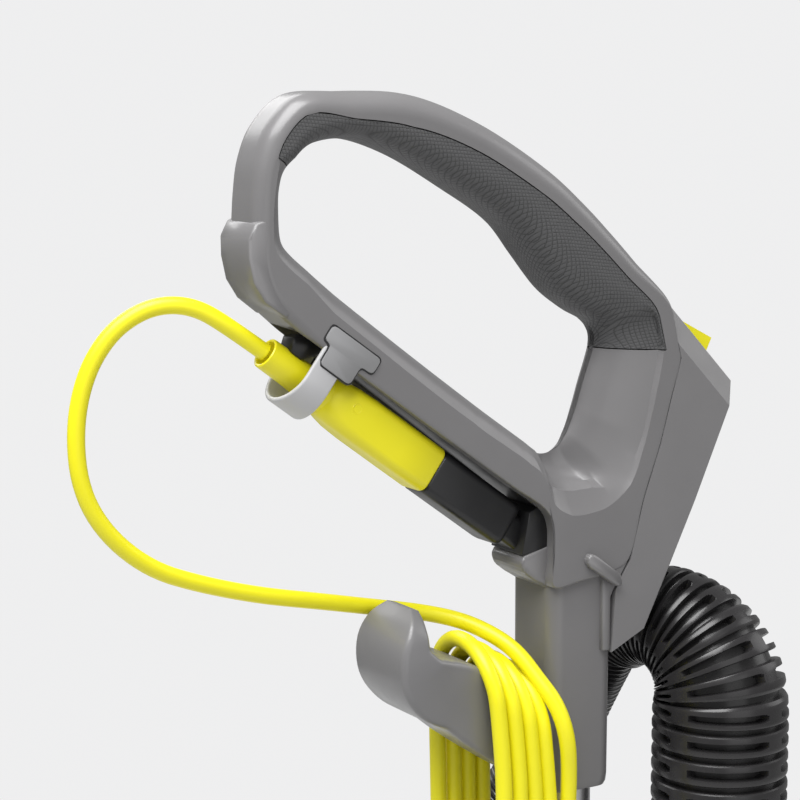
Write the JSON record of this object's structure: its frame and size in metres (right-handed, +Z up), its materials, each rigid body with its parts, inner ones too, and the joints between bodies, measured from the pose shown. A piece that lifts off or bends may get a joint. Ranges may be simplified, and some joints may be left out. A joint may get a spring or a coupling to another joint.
{
  "type": "upright carpet cleaner",
  "caption": "Upright carpet cleaning machine with looped grip handle, quick-connect mains cord wound on hooks, corrugated suction hose, bag body and tilting powered brush head.",
  "frame": {"origin": "on the floor, under the centre of the machine's bounding box without its cord and hose", "axes": "+Z up, the nozzle's front towards -Y, the handle loop and the user towards +Y"},
  "size_m": [0.31, 0.4532, 1.1742],
  "materials": {
    "grey_shell": "fine moulded texture",
    "grey_cover": "fine moulded texture",
    "grey_sleeve": "fine moulded texture",
    "soft_grip": "cross-hatched soft grip",
    "yellow_plastic": "satin",
    "yellow_cord": "smooth jacket",
    "black_plastic": "fine moulded texture",
    "black_hose": "satin",
    "light_clip": "satin",
    "body_grey": "fine moulded texture",
    "door_grey": "fine moulded texture",
    "base_grey": "fine moulded texture",
    "aluminium": "brushed",
    "wand_metal": "polished",
    "steel": "turned",
    "brass": "nickel plated",
    "motor_metal": "pressed steel",
    "fan": "cast",
    "rubber": "matte",
    "tyre": "matte",
    "filter": "foam and fleece",
    "bag": "fleece",
    "bristle": "nylon tufts",
    "strap": "woven hook and loop"
  },
  "bodies": {
    "base": {"base_chassis": "black_plastic", "base_cover": "base_grey", "bumper": "rubber", "pivot_pins": "steel", "air_duct": "black_plastic", "brush_motor": "motor_metal", "drive_belt": "rubber", "roller_bearings": "steel", "axles": "steel"},
    "brush": {"brush_roller": "black_plastic", "brush_bristles": "bristle"},
    "belt_pulley": {"motor_pulley": "black_plastic"},
    "left_wheel": {"wheel_left": "black_plastic", "tyre_left": "tyre"},
    "right_wheel": {"wheel_right": "black_plastic", "tyre_right": "tyre"},
    "left_front_roller": {"front_roller_left": "rubber"},
    "right_front_roller": {"front_roller_right": "rubber"},
    "pedal": {"tilt_pedal": "yellow_plastic"},
    "knob": {"height_knob": "yellow_plastic"},
    "switch": {"power_switch": "yellow_plastic"},
    "door": {"bag_door": "door_grey"},
    "latch": {"door_latch": "yellow_plastic"},
    "lower_hook": {"cable_hook_lower": "grey_sleeve"},
    "hand_tool": {"crevice_tool": "black_plastic"},
    "fan": {"fan_rotor": "fan"},
    "upper": {"handle_shell": "grey_shell", "head_front_cover": "grey_cover", "cable_hook_upper": "grey_sleeve", "soft_grip": "soft_grip", "cord_connector": "yellow_plastic", "strain_relief": "yellow_plastic", "cord_loop": "yellow_cord", "cord_hank": "yellow_cord", "cord_tail": "yellow_cord", "appliance_inlet": "black_plastic", "tube_socket": "black_plastic", "accessory_holder": "black_plastic", "wand_clips": "black_plastic", "wand_cuff": "black_plastic", "hose_port_cuff": "black_plastic", "pivot_yoke": "black_plastic", "exhaust_grille": "black_plastic", "switch_module": "black_plastic", "mains_plug": "black_plastic", "suction_hose": "black_hose", "hose_bend_sleeve": "black_hose", "cord_clip": "light_clip", "body_housing": "body_grey", "stem_tube": "aluminium", "suction_wand": "wand_metal", "handle_screws": "steel", "door_hinge_pin": "steel", "switch_pin": "steel", "inlet_pins": "brass", "plug_pins": "brass", "suction_motor": "motor_metal", "motor_filter": "filter", "dust_bag": "bag", "cord_tie": "strap"}
  },
  "joints": [
    {"name": "body_tilt", "type": "hinge", "parent": "base", "child": "upper", "pos_m": [0, 0.01, 0.066], "axis": [-1, 0, 0], "range_deg": [0, 70]},
    {"name": "brush_spin", "type": "hinge", "parent": "base", "child": "brush", "pos_m": [0, -0.152, 0.029], "axis": [1, 0, 0], "continuous": true},
    {"name": "pulley_spin", "type": "hinge", "parent": "base", "child": "belt_pulley", "pos_m": [-0.113, -0.084, 0.044], "axis": [1, 0, 0], "continuous": true},
    {"name": "left_wheel_roll", "type": "hinge", "parent": "base", "child": "left_wheel", "pos_m": [-0.138, 0.044, 0.036], "axis": [1, 0, 0], "continuous": true},
    {"name": "right_wheel_roll", "type": "hinge", "parent": "base", "child": "right_wheel", "pos_m": [0.138, 0.044, 0.036], "axis": [1, 0, 0], "continuous": true},
    {"name": "left_front_roll", "type": "hinge", "parent": "base", "child": "left_front_roller", "pos_m": [-0.06, -0.108, 0.012], "axis": [1, 0, 0], "continuous": true},
    {"name": "right_front_roll", "type": "hinge", "parent": "base", "child": "right_front_roller", "pos_m": [0.06, -0.108, 0.012], "axis": [1, 0, 0], "continuous": true},
    {"name": "pedal_press", "type": "hinge", "parent": "base", "child": "pedal", "pos_m": [-0.086, 0.024, 0.058], "axis": [-1, 0, 0], "range_deg": [0, 12], "stiffness_Nm_per_rad": 0.4, "springref_deg": -8.59},
    {"name": "height_turn", "type": "hinge", "parent": "base", "child": "knob", "pos_m": [0.106, -0.084, 0.095], "axis": [0, 0, 1], "range_deg": [0, 270]},
    {"name": "switch_rock", "type": "hinge", "parent": "upper", "child": "switch", "pos_m": [0, -0.0342, 1.0547], "axis": [1, 0, 0], "range_deg": [0, 10]},
    {"name": "door_swing", "type": "hinge", "parent": "upper", "child": "door", "pos_m": [0, -0.106, 0.347], "axis": [1, 0, 0], "range_deg": [0, 75]},
    {"name": "latch_press", "type": "slide", "parent": "door", "child": "latch", "axis": [0, 0, -1], "range_m": [0, 0.0045], "stiffness_N_per_m": 400, "springref_m": -0.001},
    {"name": "lower_hook_turn", "type": "hinge", "parent": "upper", "child": "lower_hook", "pos_m": [0, 0.05, 0.346], "axis": [0, 1, 0], "range_deg": [0, 180]},
    {"name": "tool_lift", "type": "slide", "parent": "upper", "child": "hand_tool", "axis": [0, 0, 1], "range_m": [0, 0.25]},
    {"name": "fan_spin", "type": "hinge", "parent": "upper", "child": "fan", "pos_m": [0, -0.052, 0.25], "axis": [0, 0, 1], "continuous": true}
  ],
  "couplings": [
    {"joint": "pulley_spin", "follows": "brush_spin", "ratio": 1.5}
  ]
}
